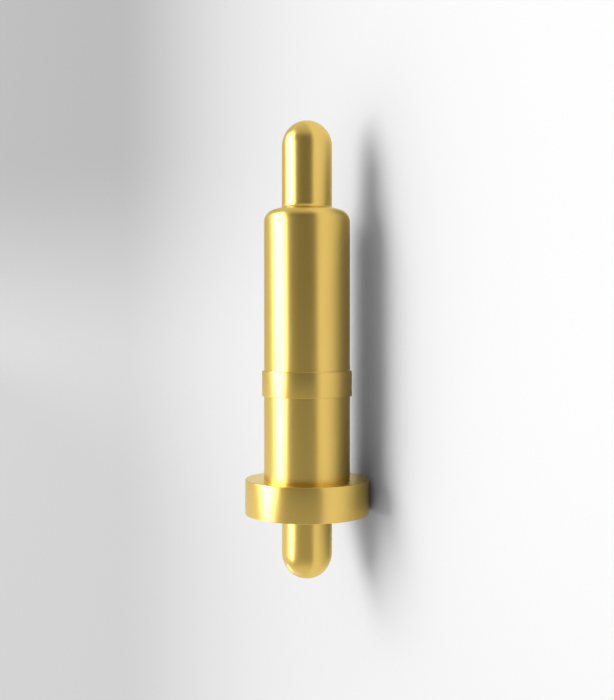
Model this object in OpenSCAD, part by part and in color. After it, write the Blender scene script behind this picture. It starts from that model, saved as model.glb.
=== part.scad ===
// Spring-loaded contact pin (pogo pin) with a board flange, a press band and a solder tail.
// Millimetres. The pin stands along +Z on the Z axis: z = 0 is the flange's underside, where it
// sits on the board, and the plunger's tip points up. Its pieces are the barrel, which is turned
// in one with the flange, the band and the tail, the plunger inside it, and the spring below.

/* [Barrel] */
// Outer diameter of the barrel
barrel_d = 1.80; // [1.66:0.01:2.20]
// Diameter of the bore that the plunger runs in
bore_d = 1.40; // [1.34:0.01:1.54]
// Diameter of the opening that the rolled mouth leaves
mouth_d = 1.26; // [1.16:0.01:1.32]
// Height of the mouth above the flange's underside
barrel_h = 6.40; // [5.80:0.05:8.00]
// Inner radius of the bend where the mouth is rolled in
bend_r = 0.07; // [0.05:0.01:0.12]
// Height of the bore's floor, at the wall, above the flange's underside
floor_h = 0.62; // [0.56:0.01:0.90]
// Point angle of the drill that left the floor
drill_angle = 118; // [112:1:140]

/* [Flange] */
// Diameter of the flange
flange_d = 2.61; // [2.40:0.01:3.40]
// Thickness of the flange
flange_h = 0.71; // [0.40:0.01:1.00]
// Radius that breaks the sharp rims of the flange and the band
edge_r = 0.02; // [0.01:0.005:0.03]

/* [Press band] */
// How far the band stands out of the barrel, to grip the hole in a housing
band_step = 0.0425; // [0.0325:0.0025:0.10]
// Width of the band along the barrel
band_h = 0.53; // [0.30:0.01:1.00]
// Height of the band's lower rim above the flange's underside
band_z = 2.475; // [1.50:0.005:3.50]

/* [Solder tail] */
// Diameter of the tail
tail_d = 1.06; // [0.60:0.01:1.40]
// Length of the tail below the flange, with its round end
tail_l = 1.38; // [0.90:0.01:3.00]

/* [Plunger] */
// Diameter of the plunger's shaft
plunger_d = 1.06; // [0.90:0.01:1.12]
// Reach of the tip above the barrel's mouth
reach = 1.88; // [1.30:0.01:2.40]
// Length of the thick land inside the bore, down to the lowest point of its slanted end
land_l = 2.00; // [1.50:0.05:2.40]
// Slant of that end, by which the spring leans the plunger on the wall of the bore
slant = 15; // [5:1:20]
// Radial gap between the plunger and the barrel, in the bore and in the mouth
run_gap = 0.02; // [0.015:0.005:0.035]

/* [Spring] */
// Diameter of the wire
wire_d = 0.16; // [0.10:0.01:0.18]
// Radial gap between the spring and the bore
coil_gap = 0.05; // [0.03:0.01:0.10]
// Turns that carry the load
active_turns = 9; // [7:1:10]
// Closed turns at each end
end_turns = 1; // [1:1:2]
// Gap between the wire and what it rests on, and between closed turns
seat_gap = 0.015; // [0.010:0.005:0.030]

/* [Hidden] */
$fn = 96;

// Barrel
barrel_r = barrel_d / 2;
bore_r = bore_d / 2;
mouth_r = mouth_d / 2;
wall = barrel_r - bore_r;
lip_z = barrel_h - wall; // underside of the rolled mouth
cone_h = bore_r / tan(drill_angle / 2);

// Plunger
shaft_r = plunger_d / 2;
neck_r = mouth_r - run_gap;
flare_r = mouth_r - shaft_r; // hollow that widens the shaft into its neck
land_r = bore_r - run_gap;
land_top = lip_z - run_gap;
land_low = land_top - land_l;
tip_z = barrel_h + reach;

// Spring: its lowest turn rests on the conical floor, its highest under the land
wire_r = wire_d / 2;
coil_r = bore_r - coil_gap - wire_r;
floor_at_coil = floor_h - (bore_r - coil_r) / tan(drill_angle / 2);
coil_low = floor_at_coil + (wire_r + seat_gap) / sin(drill_angle / 2);
coil_high = land_low - seat_gap - wire_r;
turns = active_turns + 2 * end_turns;
closed_pitch = wire_d + seat_gap;
open_pitch = (coil_high - coil_low - 2 * end_turns * closed_pitch) / active_turns;
steps = 24; // rings in a turn of the wire
sides = 8; // corners of the wire's section

// Half section of a disc from z = 0 to h, with both rims broken by the radius edge.
module disc_half(r, h, edge) {
    translate([0, edge]) square([r, h - 2 * edge]);
    square([r - edge, h]);
    for (z = [edge, h - edge])
        translate([r - edge, z]) circle(edge);
}

// Half section of a rod from z = 0 to h, with its upper rim rounded by the radius edge.
module rod_half(r, h, edge) {
    square([r, h - edge]);
    square([r - edge, h]);
    translate([r - edge, h - edge]) circle(edge);
}

// Half section of a rod from z = 0 to h, whose upper end is half a ball.
module round_end_half(r, h) {
    square([r, h - r]);
    intersection() {
        translate([0, h - r]) circle(r);
        square([r, h]);
    }
}

// Half section of what is hollow: the drilled bore, the space under the lip, and the mouth.
module bore_half() {
    polygon([[0, floor_h - cone_h], [bore_r, floor_h], [0, floor_h]]);
    translate([0, floor_h]) {
        rod_half(bore_r, lip_z - floor_h, bend_r);
        square([mouth_r, barrel_h]);
    }
}

// The barrel, turned from one bar: flange, press band, solder tail, bore and rolled mouth.
module barrel() {
    color("gold") rotate_extrude() difference() {
        union() {
            rod_half(barrel_r, barrel_h, bend_r + wall);
            disc_half(flange_d / 2, flange_h, edge_r);
            translate([0, band_z]) disc_half(barrel_r + band_step, band_h, edge_r);
            mirror([0, 1]) round_end_half(tail_d / 2, tail_l);
        }
        bore_half();
    }
}

// Half section of the plunger: the land that runs in the bore, the neck that fills the mouth
// and flares up into the shaft, and the shaft with its round tip.
module plunger_half() {
    translate([0, land_low]) {
        rod_half(land_r, land_l, bend_r - run_gap);
        round_end_half(shaft_r, tip_z - land_low);
    }
    difference() {
        translate([0, land_low]) square([neck_r, barrel_h + flare_r - land_low]);
        translate([mouth_r, barrel_h + flare_r]) circle(flare_r);
    }
}

// The plunger, with the lower end of its land cut on a slant that is lowest at +X.
module plunger() {
    color("gold") difference() {
        rotate_extrude() plunger_half();
        translate([land_r, 0, land_low]) rotate([0, slant, 0])
            translate([-4 * land_r, -2 * land_r, -2 * land_r]) cube([6, 4, 2] * land_r);
    }
}

// Height of the wire's centre after t turns: closed turns at both ends, open ones between.
function wire_z(t) =
    t < end_turns ? coil_low + t * closed_pitch :
    t > turns - end_turns ? coil_high - (turns - t) * closed_pitch :
    coil_low + end_turns * closed_pitch + (t - end_turns) * open_pitch;

// A point of the wire's skin after t turns, at the angle a round the wire's section.
function wire_point(t, a) =
    let (r = coil_r + wire_r * cos(a))
    [r * cos(360 * t), r * sin(360 * t), wire_z(t) + wire_r * sin(a)];

// The spring: one round wire, swept along its turns.
module spring() {
    rings = turns * steps;
    points = [for (i = [0:rings], k = [0:sides - 1]) wire_point(i / steps, 360 * k / sides)];
    skin = [for (i = [0:rings - 1], k = [0:sides - 1])
        let (next = (k + 1) % sides)
        [i * sides + k, (i + 1) * sides + k, (i + 1) * sides + next, i * sides + next]];
    start = [for (k = [0:sides - 1]) k];
    end = [for (k = [sides - 1:-1:0]) rings * sides + k];
    color("silver") polyhedron(points, concat([start, end], skin));
}

barrel();
plunger();
spring();
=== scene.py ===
# %% [markdown]
# # A spring-loaded contact pin
#
# A pogo pin is three pieces. A barrel is turned from brass, in one with a board flange, a narrow
# press band and a solder tail. A plunger slides in its bore, and a coil spring pushes the plunger
# up against the rolled mouth. Barrel and plunger are plated with satin gold.
#
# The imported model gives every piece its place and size. Its round faces are coarse, though, and
# polished metal shows each flat of them. So this lesson turns both pieces again on a fine lathe
# and winds the spring from round wire, all from the same sizes, and then spends its care on the
# plating and on what the metal has to reflect.

# %% Load the frame
import math

import bmesh
import bpy
from mathutils import Matrix, Vector


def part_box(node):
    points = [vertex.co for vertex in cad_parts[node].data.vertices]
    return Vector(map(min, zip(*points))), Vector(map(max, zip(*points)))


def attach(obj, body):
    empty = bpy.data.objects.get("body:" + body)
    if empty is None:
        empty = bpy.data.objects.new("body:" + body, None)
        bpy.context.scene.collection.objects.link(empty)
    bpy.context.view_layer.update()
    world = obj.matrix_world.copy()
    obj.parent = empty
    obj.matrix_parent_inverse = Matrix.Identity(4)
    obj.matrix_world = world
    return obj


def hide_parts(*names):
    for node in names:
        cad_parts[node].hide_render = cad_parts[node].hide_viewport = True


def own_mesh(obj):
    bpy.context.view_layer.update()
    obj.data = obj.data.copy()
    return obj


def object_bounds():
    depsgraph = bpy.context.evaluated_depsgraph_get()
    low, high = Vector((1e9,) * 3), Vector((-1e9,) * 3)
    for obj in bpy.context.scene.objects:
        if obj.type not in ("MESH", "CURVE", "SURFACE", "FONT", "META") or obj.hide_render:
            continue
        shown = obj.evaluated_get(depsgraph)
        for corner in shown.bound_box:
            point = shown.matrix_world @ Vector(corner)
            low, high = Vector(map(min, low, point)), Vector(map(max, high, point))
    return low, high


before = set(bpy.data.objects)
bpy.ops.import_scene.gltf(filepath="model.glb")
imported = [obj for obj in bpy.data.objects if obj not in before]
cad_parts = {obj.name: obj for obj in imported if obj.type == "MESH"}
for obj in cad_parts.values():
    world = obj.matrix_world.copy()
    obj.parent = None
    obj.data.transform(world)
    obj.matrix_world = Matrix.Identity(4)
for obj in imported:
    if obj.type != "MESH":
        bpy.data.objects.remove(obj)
frame_box = [list(corner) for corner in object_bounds()]

# %% [markdown]
# ## Sizes
#
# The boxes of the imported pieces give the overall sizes: how wide the flange is, how far the tip
# reaches, where the spring starts and ends. The steps and bends between them can't be read from a
# box, so they are written here once, in millimetres, as a turner's drawing gives them. Blender
# works in metres, and `mm` turns one into the other.

# %% Sizes from the boxes, and the turned steps
mm = 0.001

barrel_low, barrel_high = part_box("barrel")
plunger_low, plunger_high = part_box("plunger")
spring_low, spring_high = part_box("spring")

middle = (Vector(frame_box[0]) + Vector(frame_box[1])) / 2
flange_r = barrel_high.x
mouth_z = barrel_high.z
tail_z = barrel_low.z
tip_z = plunger_high.z
land_r = plunger_high.x
land_low = plunger_low.z

barrel_r = 0.9075 * mm
bore_r = 0.70 * mm
mouth_r = 0.63 * mm
shaft_r = 0.53 * mm
tail_r = 0.53 * mm
flange_h = 0.73 * mm
band_z = 2.48 * mm
band_h = 0.535 * mm
band_r = 0.95 * mm
floor_z = 0.62 * mm
drill_angle = math.radians(118)
bend_r = 0.05 * mm
edge_r = 0.015 * mm
run_gap = 0.02 * mm
dome_h = 0.55 * mm
slant = math.radians(15)

wall = barrel_r - bore_r
lip_z = mouth_z - wall
neck_r = mouth_r - run_gap
land_top = lip_z - run_gap
print(f"flange {2 * flange_r / mm:.2f} mm wide, pin {(tip_z - tail_z) / mm:.2f} mm long")

# %% [markdown]
# ## A fine lathe
#
# A turned piece is one outline swept round its axis. The outline is a list of points, radius
# first and height second, and its rounded corners are arcs. A Screw modifier could sweep it, but
# rings made in mesh code close to a single point on the axis, which keeps the round tips clean.
#
# Broken edges need sharp shading and bends need smooth shading. `set_sharp_from_angle` sorts them
# by the angle between faces, so each arc has enough steps to stay under that angle.

# %% The lathe
AROUND = 256
SHARP = math.radians(24)


def arc(centre, radius, start, end, steps=10):
    """Points along an arc of the outline. Angles are in degrees, 0 points away from the axis."""
    points = []
    for i in range(steps + 1):
        turn = math.radians(start + (end - start) * i / steps)
        points.append((centre[0] + radius * math.cos(turn), centre[1] + radius * math.sin(turn)))
    return points


def dome(radius, foot, tip, steps=32):
    """Points along a domed end, from its foot at the full radius to its tip on the axis."""
    points = []
    for i in range(steps):
        turn = math.radians(90 * i / steps)
        points.append((radius * math.cos(turn), foot + (tip - foot) * math.sin(turn)))
    return points + [(0, tip)]


def lathe(outline, around=AROUND):
    """Sweeps an outline round the Z axis and returns it as a bmesh. Its ends lie on the axis."""
    work = bmesh.new()
    rings = []
    for radius, height in outline:
        if radius < 1e-9:
            rings.append([work.verts.new((0, 0, height))])
            continue
        ring = []
        for i in range(around):
            turn = math.tau * i / around
            ring.append(work.verts.new((radius * math.cos(turn), radius * math.sin(turn), height)))
        rings.append(ring)
    for lower, upper in zip(rings, rings[1:]):
        for i in range(around):
            corners = [lower[i % len(lower)], lower[(i + 1) % len(lower)],
                       upper[(i + 1) % len(upper)], upper[i % len(upper)]]
            work.faces.new(list(dict.fromkeys(corners)))
    return work


def piece(name, work, sharp=SHARP):
    """Turns a bmesh into an object of the scene, shaded smooth with its sharp edges kept."""
    bmesh.ops.recalc_face_normals(work, faces=work.faces)
    mesh = bpy.data.meshes.new(name)
    work.to_mesh(mesh)
    work.free()
    mesh.shade_smooth()
    mesh.set_sharp_from_angle(angle=sharp)
    made = bpy.data.objects.new(name, mesh)
    bpy.context.scene.collection.objects.link(made)
    return made


print("one ring has", AROUND, "points")

# %% [markdown]
# ## The barrel
#
# The outline runs up the outside, from the domed end of the solder tail over the flange, the wall
# and the press band to the mouth. There the wall is rolled inwards, which leaves a soft shoulder
# outside and a tighter bend inside. Then it runs down the bore to the cone that the drill left.
# Rims of the flange and the band are turned sharp and only just broken.

# %% Barrel
roll_r = bend_r + wall
cone_h = bore_r / math.tan(drill_angle / 2)


def barrel_outline():
    """The barrel's half section, from the tail's end round to the bottom of the bore."""
    points = dome(tail_r, tail_z + dome_h, tail_z)[::-1]
    points += [(tail_r, 0)]
    points += arc((flange_r - edge_r, edge_r), edge_r, -90, 0, 6)
    points += arc((flange_r - edge_r, flange_h - edge_r), edge_r, 0, 90, 6)
    points += [(barrel_r, flange_h), (barrel_r, band_z)]
    points += arc((band_r - edge_r, band_z + edge_r), edge_r, -90, 0, 6)
    points += arc((band_r - edge_r, band_z + band_h - edge_r), edge_r, 0, 90, 6)
    points += [(barrel_r, band_z + band_h)]
    points += arc((barrel_r - roll_r, mouth_z - roll_r), roll_r, 0, 90, 20)
    points += [(mouth_r, mouth_z), (mouth_r, lip_z)]
    points += arc((bore_r - bend_r, lip_z - bend_r), bend_r, 90, 0, 10)
    points += [(bore_r, floor_z), (0, floor_z - cone_h)]
    return points


barrel = piece("barrel_turned", lathe(barrel_outline()))
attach(barrel, "barrel")
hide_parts("barrel")
print("barrel:", len(barrel.data.polygons), "faces")

# %% [markdown]
# ## The plunger
#
# The plunger's land runs in the bore and can't pass the rolled mouth. Above it a neck fills the
# mouth and sweeps in to the slimmer shaft, and the shaft ends in a dome, the contact tip.
# The land's lower end is cut on a slant, so the spring leans the plunger on the wall of the bore
# and the current takes the short way. The lathe makes the round part, and one plane cuts it.

# %% Plunger
flare_r = mouth_r - shaft_r


def plunger_outline():
    """The plunger's half section, from the middle of its lower end to the tip."""
    points = [(0, land_low), (land_r, land_low)]
    points += arc((land_r - bend_r + run_gap, land_top - bend_r + run_gap), bend_r - run_gap, 0, 90, 8)
    points += [(neck_r, land_top)]
    lean = math.degrees(math.acos((mouth_r - neck_r) / flare_r))
    points += arc((mouth_r, mouth_z + flare_r), flare_r, 180 + lean, 180, 12)
    points += dome(shaft_r, tip_z - dome_h, tip_z)
    return points


def cut_slant(work):
    """Cuts the lower end off along the slant, which is lowest at +X, and closes the cut."""
    cut = bmesh.ops.bisect_plane(
        work,
        geom=work.verts[:] + work.edges[:] + work.faces[:],
        plane_co=(land_r, 0, land_low),
        plane_no=(-math.sin(slant), 0, -math.cos(slant)),
        clear_outer=True,
    )
    rim = [part for part in cut["geom_cut"] if isinstance(part, bmesh.types.BMEdge)]
    bmesh.ops.edgeloop_fill(work, edges=rim)


turned = lathe(plunger_outline())
cut_slant(turned)
plunger = piece("plunger_turned", turned)
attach(plunger, "plunger")
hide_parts("plunger")
print("plunger:", len(plunger.data.polygons), "faces")

# %% [markdown]
# ## The spring
#
# The spring is round wire wound on a mandrel: a closed turn at each end and open turns between.
# A curve with a bevel could draw it, but its cut ends and its height are easier to hold as a
# swept ring of points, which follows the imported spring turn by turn.

# %% Spring
wire_r = 0.08 * mm
closed_pitch = 0.175 * mm
active_turns = 9
end_turns = 1
turns = active_turns + 2 * end_turns
wire_steps = 72
wire_sides = 20

coil_r = spring_high.x - wire_r
coil_low = spring_low.z + wire_r
coil_high = spring_high.z - wire_r
open_pitch = (coil_high - coil_low - 2 * end_turns * closed_pitch) / active_turns


def wire_z(turn):
    """Height of the wire's centre after some turns."""
    if turn < end_turns:
        return coil_low + turn * closed_pitch
    if turn > turns - end_turns:
        return coil_high - (turns - turn) * closed_pitch
    return coil_low + end_turns * closed_pitch + (turn - end_turns) * open_pitch


def wind():
    """Sweeps the wire's round section along its turns."""
    work = bmesh.new()
    rings = []
    for i in range(turns * wire_steps + 1):
        turn = i / wire_steps
        spin = Matrix.Rotation(math.tau * turn, 3, "Z")
        ring = []
        for k in range(wire_sides):
            side = math.tau * k / wire_sides
            point = Vector((coil_r + wire_r * math.cos(side), 0, wire_z(turn) + wire_r * math.sin(side)))
            ring.append(work.verts.new(spin @ point))
        rings.append(ring)
    for here, there in zip(rings, rings[1:]):
        for k in range(wire_sides):
            nxt = (k + 1) % wire_sides
            work.faces.new((here[k], there[k], there[nxt], here[nxt]))
    work.faces.new(rings[0])
    work.faces.new(rings[-1][::-1])
    return work


spring = piece("spring_wound", wind(), math.radians(50))
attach(spring, "barrel")
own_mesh(spring)
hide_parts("spring")
print(f"spring: {turns} turns, {len(spring.data.polygons)} faces")

# %% [markdown]
# ## Writing shaders as sums
#
# A pattern is a sum of small steps, and in a node editor each step is a Math node. Two short
# classes let Python write them. `Signal` is one output of a node, and adding or multiplying it
# places the Math node. `Graph.make` places any other node: its settings first, then its inputs.

# %% Signal and Graph
class Signal:
    """An output socket that can be used in an expression."""

    def __init__(self, graph, socket):
        self.graph = graph
        self.socket = socket

    def math(self, operation, *values):
        return self.graph.make("ShaderNodeMath", {"operation": operation}, dict(enumerate(values)))

    def __add__(self, other):
        return self.math("ADD", self, other)

    def __radd__(self, other):
        return self.math("ADD", other, self)

    def __sub__(self, other):
        return self.math("SUBTRACT", self, other)

    def __rsub__(self, other):
        return self.math("SUBTRACT", other, self)

    def __mul__(self, other):
        return self.math("MULTIPLY", self, other)

    def __rmul__(self, other):
        return self.math("MULTIPLY", other, self)

    def ramp(self, low, high):
        """0 below low, 1 above high and a smooth step between."""
        return self.graph.make(
            "ShaderNodeMapRange",
            {"interpolation_type": "SMOOTHSTEP"},
            {"Value": self, "From Min": low, "From Max": high},
        )


class Graph:
    """A node tree, emptied and ready for new nodes."""

    def __init__(self, owner):
        owner.use_nodes = True
        self.tree = owner.node_tree
        self.tree.nodes.clear()

    def make(self, kind, settings=None, inputs=None, output=0):
        node = self.tree.nodes.new(kind)
        for name, value in (settings or {}).items():
            setattr(node, name, value)
        for name, value in (inputs or {}).items():
            if isinstance(value, Signal):
                self.tree.links.new(value.socket, node.inputs[name])
            else:
                node.inputs[name].default_value = value
        return Signal(self, node.outputs[output]) if node.outputs else node

    def place(self, output="Object"):
        """Where a point lies on the piece, in metres."""
        return self.make("ShaderNodeTexCoord", output=output)

    def stretch(self, vector, factors):
        return self.make("ShaderNodeVectorMath", {"operation": "MULTIPLY"}, {0: vector, 1: factors})

    def dot(self, vector, axis):
        return self.make("ShaderNodeVectorMath", {"operation": "DOT_PRODUCT"}, {0: vector, 1: axis}, 1)

    def noise(self, vector, size, detail=2.0):
        """Noise from 0 to 1 whose patches are about `size` metres across."""
        return self.make("ShaderNodeTexNoise", None, {"Vector": vector, "Scale": 1 / size, "Detail": detail})

    def blend(self, share, first, second):
        """Mixes two colours."""
        return self.make("ShaderNodeMix", {"data_type": "RGBA"}, {0: share, 6: first, 7: second}, 2)


print("signals know: + - * ramp")

# %% [markdown]
# ## Satin gold
#
# Gold plate over turned brass is a metal with a warm colour of its own: it tints what it reflects,
# so a Principled shader at full Metallic gives the deep tone between two gold walls for free. The
# satin comes from Roughness. Three quiet patterns keep it from looking like paint: the tool's
# rings round the axis, the fine grain of the plating and a drift in gloss and tone along the pin.

# %% Gold finish
def satin_gold(name, tone, roughness, ring_depth):
    """Gold plating over turned metal. ring_depth is how deep the tool's rings are, in metres."""
    material = bpy.data.materials.new(name)
    graph = Graph(material)
    place = graph.place()
    rings = graph.noise(graph.stretch(place, (0.02, 0.02, 1.0)), 0.030 * mm, 3.0)
    grain = graph.noise(place, 0.016 * mm, 1.0)
    drift = graph.noise(graph.stretch(place, (1.0, 1.0, 0.5)), 0.9 * mm)
    height = rings * (ring_depth / mm) + grain * 0.0004
    warmer = tuple(channel * scale for channel, scale in zip(tone, (0.99, 0.98, 0.94)))
    normal = graph.make("ShaderNodeBump", None, {"Strength": 1.0, "Distance": mm, "Height": height})
    surface = graph.make(
        "ShaderNodeBsdfPrincipled",
        None,
        {
            "Metallic": 1.0,
            "Specular Tint": (0.94, 0.97, 0.84, 1),
            "Base Color": graph.blend(drift.ramp(0.35, 0.7), (*tone, 1), (*warmer, 1)),
            "Roughness": roughness + (drift - 0.5) * 0.05 + (grain - 0.5) * 0.04,
            "Normal": normal,
        },
    )
    graph.make("ShaderNodeOutputMaterial", None, {"Surface": surface})
    return material


GOLD = (0.84, 0.588, 0.157)
barrel.data.materials.append(satin_gold("satin_gold_barrel", GOLD, 0.29, 0.0004 * mm))
plunger.data.materials.append(satin_gold("satin_gold_plunger", GOLD, 0.29, 0.0003 * mm))
print("gold on", barrel.name, "and", plunger.name)

# %% [markdown]
# ## Drawn spring wire
#
# Spring wire is pulled through a die, which leaves fine lines along it. Winding bends them round with the
# wire. Noise stretched round the axis would need an angle, so this noise changes fast with height and slowly
# across, and its lines run round the axis along every coil.

# %% Wire finish
def drawn_wire(name):
    """Bright drawn steel."""
    material = bpy.data.materials.new(name)
    graph = Graph(material)
    place = graph.place()
    lines = graph.noise(graph.stretch(place, (0.05, 0.05, 1.0)), 0.012 * mm, 2.0)
    stains = graph.noise(place, 0.4 * mm)
    normal = graph.make("ShaderNodeBump", None, {"Strength": 1.0, "Distance": mm, "Height": lines * 0.0005})
    surface = graph.make(
        "ShaderNodeBsdfPrincipled",
        None,
        {
            "Metallic": 1.0,
            "Base Color": graph.blend(stains, (0.60, 0.59, 0.57, 1), (0.50, 0.48, 0.45, 1)),
            "Roughness": 0.24 + lines * 0.12,
            "Normal": normal,
        },
    )
    graph.make("ShaderNodeOutputMaterial", None, {"Surface": surface})
    return material


spring.data.materials.append(drawn_wire("drawn_spring_wire"))
print("steel on", spring.name)

# %% [markdown]
# ## The floor
#
# The pin leans on a sheet of pale paper that stands upright beside it. The sheet touches the
# flange's rim, and the camera sees it at a shallow angle. Only its face towards the pin is paper.
# Its back lets the camera look through, so that views from behind aren't blocked.
#
# The paper isn't one even tone, and its tone holds painted shade. It greys a little far beyond the pin, more
# so high up, and a little low down: painted shade in place of light that falls off across the paper and a dim
# grazing reflection. Past the camera's view it is darker, painted shade again, and the metal shows that as
# the soft start of its pale stripe.

# %% Floor
lean = math.radians(69)
floor_out = Vector((math.sin(lean), math.cos(lean), 0))
floor_along = Vector((math.cos(lean), -math.sin(lean), 0))
floor_foot = floor_out * flange_r
floor_reach = 0.60
floor_near = 0.10
floor_half_height = 0.35

sheet = bmesh.new()
corners = []
for along, up in ((-floor_reach, -1), (floor_near, -1), (floor_near, 1), (-floor_reach, 1)):
    corners.append(sheet.verts.new(floor_foot + floor_along * along + Vector((0, 0, up * floor_half_height))))
sheet.faces.new(corners)
floor_mesh = bpy.data.meshes.new("floor")
sheet.to_mesh(floor_mesh)
sheet.free()
if floor_mesh.polygons[0].normal.dot(floor_out) > 0:
    floor_mesh.flip_normals()
floor = bpy.data.objects.new("floor", floor_mesh)
bpy.context.scene.collection.objects.link(floor)

paper = bpy.data.materials.new("floor_paper")
graph = Graph(paper)
place = graph.place()
away = graph.dot(place, tuple(-floor_along))
height = graph.dot(place, (0, 0, 1))
# Painted shade: these masks darken the paper's own colour far off, high up, low down and past the camera's
# view.
far_shade_mask = away.ramp(-0.008, 0.030)
rise = (height - middle.z).math("DIVIDE", height - middle.z, away + 0.03)
near_shade_mask = (away * -1).ramp(0.0085, 0.018)
low = (middle.z - height).ramp(0.0, 0.008)
painted_far_shade = far_shade_mask * (0.28 + rise.ramp(-0.02, 0.17) * 0.19)
level = 0.93 - painted_far_shade - near_shade_mask * 0.60 - low * 0.05
tone = graph.make("ShaderNodeCombineColor", None, {0: level, 1: level, 2: level})
matt = graph.make("ShaderNodeBsdfDiffuse", None, {"Color": tone})
clear = graph.make("ShaderNodeBsdfTransparent")
side = graph.make("ShaderNodeNewGeometry", output="Backfacing")
both = graph.make("ShaderNodeMixShader", None, {0: side, 1: matt, 2: clear})
graph.make("ShaderNodeOutputMaterial", None, {"Surface": both})
floor.data.materials.append(paper)
print("floor leans", round(math.degrees(lean)), "degrees")

# %% [markdown]
# ## Light
#
# One large softbox hangs beside the pin, opposite the paper, and is turned a little on its stand.
# In the metal it draws the long white stripe, and on the paper it leaves the soft shadow. A bright
# stripe and a paper that stays below white ask for two strengths, so two lamps share the place:
# `sheen` only shows in the metal, and `key` only lights matt surfaces. A small strip carries the
# stripe on round the flange and the tail, and a low card lifts their far left.
#
# Light that bounces off the gold would tint the shadow brown. The shadow on white paper should stay
# a neutral grey, so those bounces are switched off.

# %% Softbox
def toward(azimuth, elevation):
    """Direction from the pin. Azimuth 0 is to the camera, negative to its left."""
    a = math.radians(azimuth)
    e = math.radians(elevation)
    return Vector((math.sin(a) * math.cos(e), -math.cos(a) * math.cos(e), math.sin(e)))


def softbox(name, azimuth, elevation, wide, tall, roll, radiance, distance=0.30):
    """A rectangular lamp that fills `wide` by `tall` degrees, seen from the pin."""
    lamp = bpy.data.lights.new(name, "AREA")
    lamp.shape = "RECTANGLE"
    lamp.size = 2 * distance * math.tan(math.radians(wide / 2))
    lamp.size_y = 2 * distance * math.tan(math.radians(tall / 2))
    lamp.energy = radiance * math.pi * lamp.size * lamp.size_y
    holder = bpy.data.objects.new(name, lamp)
    out = toward(azimuth, elevation)
    turn = out.to_track_quat("Z", "Y").to_matrix() @ Matrix.Rotation(math.radians(roll), 3, "Z")
    holder.matrix_world = Matrix.Translation(out * distance + middle) @ turn.to_4x4()
    holder.visible_camera = False
    bpy.context.scene.collection.objects.link(holder)
    return holder


box_shape = {"elevation": 15, "wide": 34, "tall": 60, "roll": 31}
sheen = softbox("softbox_sheen", azimuth=-84, radiance=6.6, **box_shape)
sheen.visible_diffuse = False
key = softbox("softbox_key", azimuth=-88, radiance=3.15, distance=0.60, **box_shape)
key.visible_glossy = False
foot = softbox("softbox_foot", azimuth=-77, elevation=-19, wide=12, tall=20, roll=20, radiance=3.7)
foot.visible_diffuse = False
card = softbox("low_card", azimuth=-138, elevation=-38, wide=16, tall=12, roll=0, radiance=2.5)
card.visible_diffuse = False
bpy.context.scene.cycles.caustics_reflective = False
print("softbox set")

# %% [markdown]
# ## Surroundings
#
# The rest of the room is a dim grey in front of the pin, and paler behind, above and below it.
# These tones fill the stripes between the softbox and the paper, and the pale ceiling shows on the
# tip and on the shoulder of the mouth. Matt surfaces get a little more fill. The camera itself sees
# a plain pale room wherever the paper doesn't reach.

# %% World
world = bpy.data.worlds.new("room")
bpy.context.scene.world = world
graph = Graph(world)
direction = graph.place("Generated")
behind = graph.dot(direction, tuple(-floor_along)).ramp(0.1, 0.75)
above = graph.dot(direction, (0, 0, 1)).ramp(0.55, 0.97)
down = graph.dot(direction, (0, 0, -1))
below = down.ramp(-0.05, 0.22) * 0.26 + down.ramp(0.5, 0.9) * 0.34
level = 0.175 + above * 0.45 + behind * 0.42 + below
to_camera = graph.make("ShaderNodeLightPath", output="Is Camera Ray")
to_matt = graph.make("ShaderNodeLightPath", output="Is Diffuse Ray")
seen = to_camera * 0.86 + (1 - to_camera) * level + to_matt * 0.12
backdrop = graph.make("ShaderNodeBackground", None, {"Color": (1, 1, 1, 1), "Strength": seen})
graph.make("ShaderNodeOutputWorld", None, {"Surface": backdrop})
print("room tones set")

# %% [markdown]
# ## Camera
#
# The camera looks at the side of the pin from a little above its middle, and aims at the middle.

# %% Camera
camera_away = 20.55 * mm
camera_rise = 0.25 * mm
camera_data = bpy.data.cameras.new("camera")
camera_data.lens = 50
camera_data.sensor_width = 36
camera_data.clip_start = 0.001
camera_data.clip_end = 10
camera = bpy.data.objects.new("camera", camera_data)
camera.location = (0, -camera_away, middle.z + camera_rise)
camera.rotation_euler = (math.pi / 2 - math.atan2(camera_rise, camera_away), 0, 0)
bpy.context.scene.collection.objects.link(camera)
bpy.context.scene.camera = camera
bpy.context.scene.view_settings.view_transform = "Standard"
print("camera", [round(v / mm, 2) for v in camera.location], "mm")

# %% Finish
print("finished")
